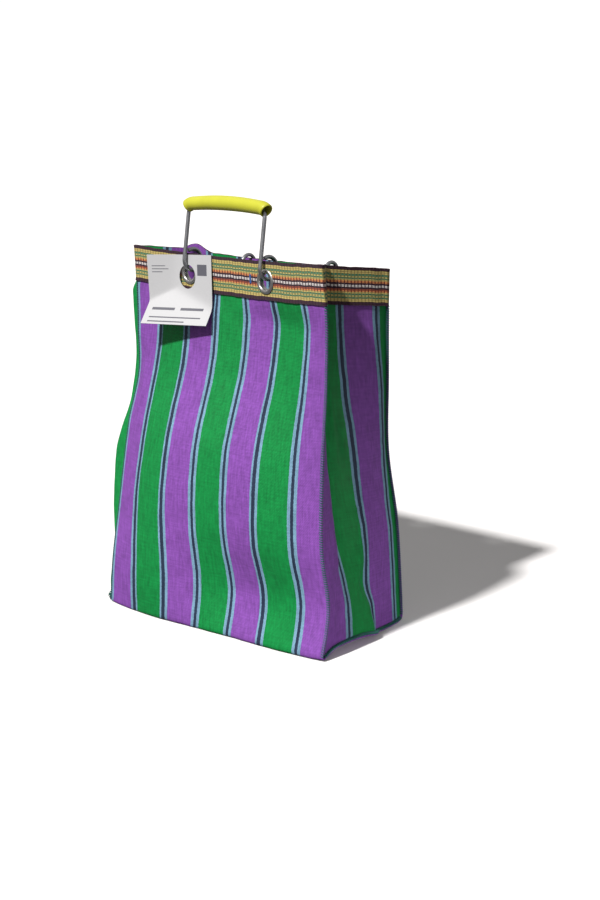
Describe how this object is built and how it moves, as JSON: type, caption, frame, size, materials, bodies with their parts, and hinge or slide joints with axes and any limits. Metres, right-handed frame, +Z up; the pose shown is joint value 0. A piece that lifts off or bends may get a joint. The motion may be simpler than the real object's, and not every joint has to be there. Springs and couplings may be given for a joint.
{
  "type": "tote bag",
  "caption": "Open-topped woven striped shopping bag with folded side gussets, patterned rim tape, rim eyelets, swinging wire bail handles with vinyl grips and a card swing tag.",
  "frame": {"origin": "middle of the base, on the surface it stands on", "axes": "+Z up, front faces -Y, +X to the right seen from the front"},
  "size_m": [0.2957, 0.1659, 0.4358],
  "materials": {
    "woven_cloth_green": "glossy woven plastic tape cloth, green and purple stripes",
    "woven_cloth_purple": "glossy woven plastic tape cloth, purple and green stripes",
    "rim_tape": "ribbed woven tape in many colours",
    "green_thread": "matt sewing thread",
    "blue_thread": "matt sewing thread",
    "nickel_steel": "nickel plated, slightly dull",
    "galvanised_wire": "zinc plated wire",
    "yellow_vinyl": "soft lime yellow vinyl tube",
    "white_card": "smooth coated white card"
  },
  "bodies": {
    "bag": {"main_panel": "woven_cloth_green", "gusset_left": "woven_cloth_purple", "gusset_right": "woven_cloth_purple", "rim_tape": "rim_tape", "tape_bar_tack": "blue_thread", "seam_thread_front_left": "green_thread", "seam_thread_front_right": "green_thread", "seam_thread_back_left": "green_thread", "seam_thread_back_right": "green_thread", "seam_thread_base_left": "green_thread", "seam_thread_base_right": "green_thread", "eyelet_front_left": "nickel_steel", "eyelet_front_right": "nickel_steel", "eyelet_back_left": "nickel_steel", "eyelet_back_right": "nickel_steel", "washer_front_left": "nickel_steel", "washer_front_right": "nickel_steel", "washer_back_left": "nickel_steel", "washer_back_right": "nickel_steel"},
    "front_handle": {"front_handle_wire": "galvanised_wire", "front_handle_grip": "yellow_vinyl"},
    "back_handle": {"back_handle_wire": "galvanised_wire", "back_handle_grip": "yellow_vinyl"},
    "tag": {"swing_tag": "white_card"}
  },
  "joints": [
    {"name": "front_handle_swing", "type": "hinge", "parent": "bag", "child": "front_handle", "pos_m": [0.00677, -0.04182, 0.37126], "axis": [0.9837, -0.1799, 0.0006], "range_deg": [-172, 128]},
    {"name": "back_handle_swing", "type": "hinge", "parent": "bag", "child": "back_handle", "pos_m": [0.00513, 0.05689, 0.35777], "axis": [-0.9987, 0.0506, 0.0088], "range_deg": [-1, 303]},
    {"name": "tag_swing", "type": "hinge", "parent": "bag", "child": "tag", "pos_m": [-0.04966, -0.03922, 0.36793], "axis": [-0.1459, -0.9887, 0.0349], "range_deg": [-17, 12]}
  ]
}
